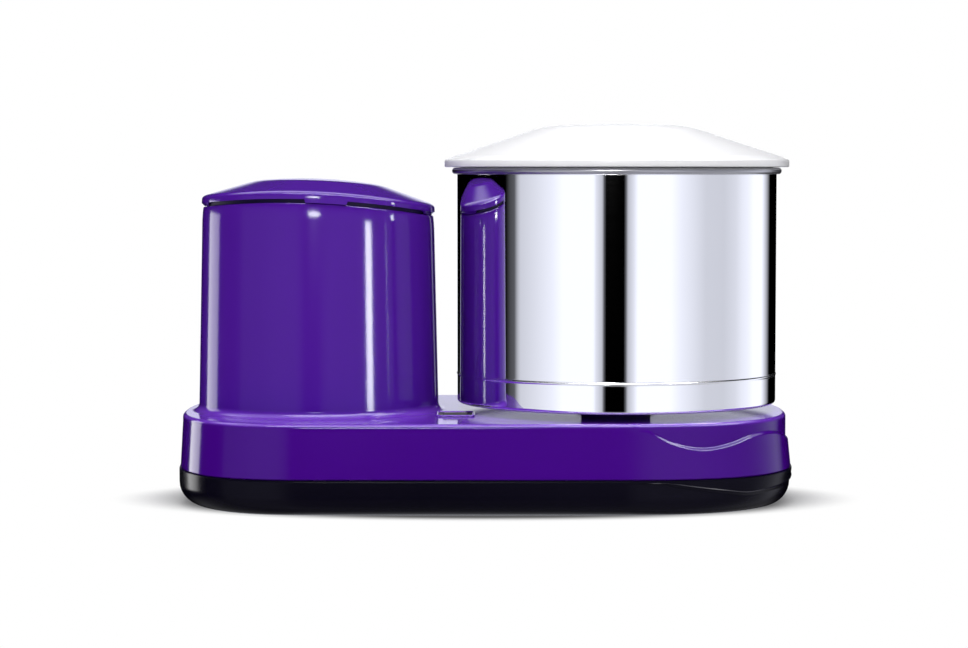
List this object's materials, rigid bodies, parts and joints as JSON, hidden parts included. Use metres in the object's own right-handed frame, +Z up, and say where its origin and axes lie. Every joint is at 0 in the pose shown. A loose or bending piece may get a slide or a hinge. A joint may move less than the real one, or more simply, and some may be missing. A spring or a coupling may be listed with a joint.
{
  "type": "wet grinder",
  "caption": "Table-top wet grinder: belt-driven stainless drum with granite base stone and rollers under a lift-off lid, on a long base beside a motor tower.",
  "frame": {"origin": "on the table, under the middle of the base's outline", "axes": "+X along the base from the motor tower to the drum, -Y to the front, +Z up"},
  "size_m": [0.481, 0.276, 0.2961],
  "materials": {
    "purple_gloss": "glossy moulded purple plastic",
    "black_gloss": "glossy moulded black plastic",
    "polished_stainless": "mirror-polished stainless sheet",
    "white_gloss": "white moulded plastic",
    "turned_steel": "turned steel",
    "zinc_sheet": "zinc-plated sheet steel",
    "zinc_screws": "zinc-plated screws",
    "cast_iron": "rough cast iron",
    "cast_aluminium": "die-cast aluminium",
    "lacquered_copper": null,
    "granite": "ground black granite",
    "black_rubber": "matt black rubber",
    "grey_nylon": "grey nylon",
    "dark_plastic": "dark moulded plastic"
  },
  "bodies": {
    "base": {"bottom_tray": "black_gloss", "body_shell": "purple_gloss", "motor_cap": "purple_gloss", "foot_front_left": "black_rubber", "foot_front_right": "black_rubber", "foot_back_left": "black_rubber", "foot_back_right": "black_rubber", "tray_screw_1": "zinc_screws", "tray_screw_2": "zinc_screws", "tray_screw_3": "zinc_screws", "tray_screw_4": "zinc_screws", "leg_screw_1": "zinc_screws", "leg_screw_2": "zinc_screws", "leg_screw_3": "zinc_screws", "spindle_bracket_screw_1": "zinc_screws", "spindle_bracket_screw_2": "zinc_screws", "motor_screw_1": "zinc_screws", "motor_screw_2": "zinc_screws", "motor_bracket": "zinc_sheet", "lower_end_shield": "cast_aluminium", "upper_end_shield": "cast_aluminium", "stator_core": "turned_steel", "lower_winding": "lacquered_copper", "upper_winding": "lacquered_copper", "lower_motor_bearing": "turned_steel", "upper_motor_bearing": "turned_steel", "run_capacitor": "cast_aluminium", "capacitor_clamp": "dark_plastic", "terminal_block": "dark_plastic", "cord_gland": "dark_plastic", "switch_housing": "dark_plastic", "drive_belt": "black_rubber", "spindle_bracket": "cast_iron", "spindle": "turned_steel"},
    "motor_rotor": {"motor_shaft": "turned_steel", "rotor_core": "turned_steel", "cooling_fan": "grey_nylon", "motor_pulley": "turned_steel"},
    "turntable": {"drum_pulley": "grey_nylon", "lower_hub_bearing": "turned_steel", "upper_hub_bearing": "turned_steel", "drive_coupler": "cast_iron"},
    "switch": {"switch_rocker": "dark_plastic"},
    "stone_holder": {"holder_hub": "polished_stainless", "right_axle": "turned_steel", "left_axle": "turned_steel", "right_axle_nut": "turned_steel", "left_axle_nut": "turned_steel", "scraper_arm": "zinc_sheet", "scraper_blade": "white_gloss"},
    "knob": {"lock_knob": "dark_plastic"},
    "right_roller": {"right_roller_stone": "granite", "right_roller_bush": "grey_nylon"},
    "left_roller": {"left_roller_stone": "granite", "left_roller_bush": "grey_nylon"},
    "drum": {"drum": "polished_stainless", "drum_socket": "cast_iron", "drum_pipe": "polished_stainless", "base_stone": "granite"},
    "lid": {"lid": "white_gloss"}
  },
  "joints": [
    {"name": "stack_lift", "type": "slide", "parent": "base", "child": "stone_holder", "axis": [0, 0, 1], "range_m": [0, 0.2]},
    {"name": "drum_spin", "type": "hinge", "parent": "stone_holder", "child": "drum", "pos_m": [0.103, 0, 0.15], "axis": [0, 0, 1], "continuous": true},
    {"name": "lid_lift", "type": "slide", "parent": "drum", "child": "lid", "axis": [0, 0, 1], "range_m": [0, 0.15]},
    {"name": "right_roller_spin", "type": "hinge", "parent": "stone_holder", "child": "right_roller", "pos_m": [0.167, 0, 0.1573], "axis": [1, 0, 0], "continuous": true},
    {"name": "left_roller_spin", "type": "hinge", "parent": "stone_holder", "child": "left_roller", "pos_m": [0.039, 0, 0.1573], "axis": [1, 0, 0], "continuous": true},
    {"name": "knob_turn", "type": "hinge", "parent": "stone_holder", "child": "knob", "pos_m": [0.103, 0, 0.23], "axis": [0, 0, 1], "range_deg": [0, 90]},
    {"name": "turntable_spin", "type": "hinge", "parent": "base", "child": "turntable", "pos_m": [0.103, 0, 0.04], "axis": [0, 0, 1], "continuous": true},
    {"name": "motor_spin", "type": "hinge", "parent": "base", "child": "motor_rotor", "pos_m": [-0.132, 0, 0.1], "axis": [0, 0, 1], "continuous": true},
    {"name": "switch_rock", "type": "hinge", "parent": "base", "child": "switch", "pos_m": [-0.0235, -0.0535, 0.07], "axis": [1, 0, 0], "range_deg": [0, 14]}
  ],
  "couplings": [
    {"joint": "turntable_spin", "follows": "drum_spin", "ratio": 1},
    {"joint": "motor_spin", "follows": "drum_spin", "ratio": 7.4754},
    {"joint": "right_roller_spin", "follows": "drum_spin", "ratio": 1.4222},
    {"joint": "left_roller_spin", "follows": "drum_spin", "ratio": -1.4222}
  ]
}
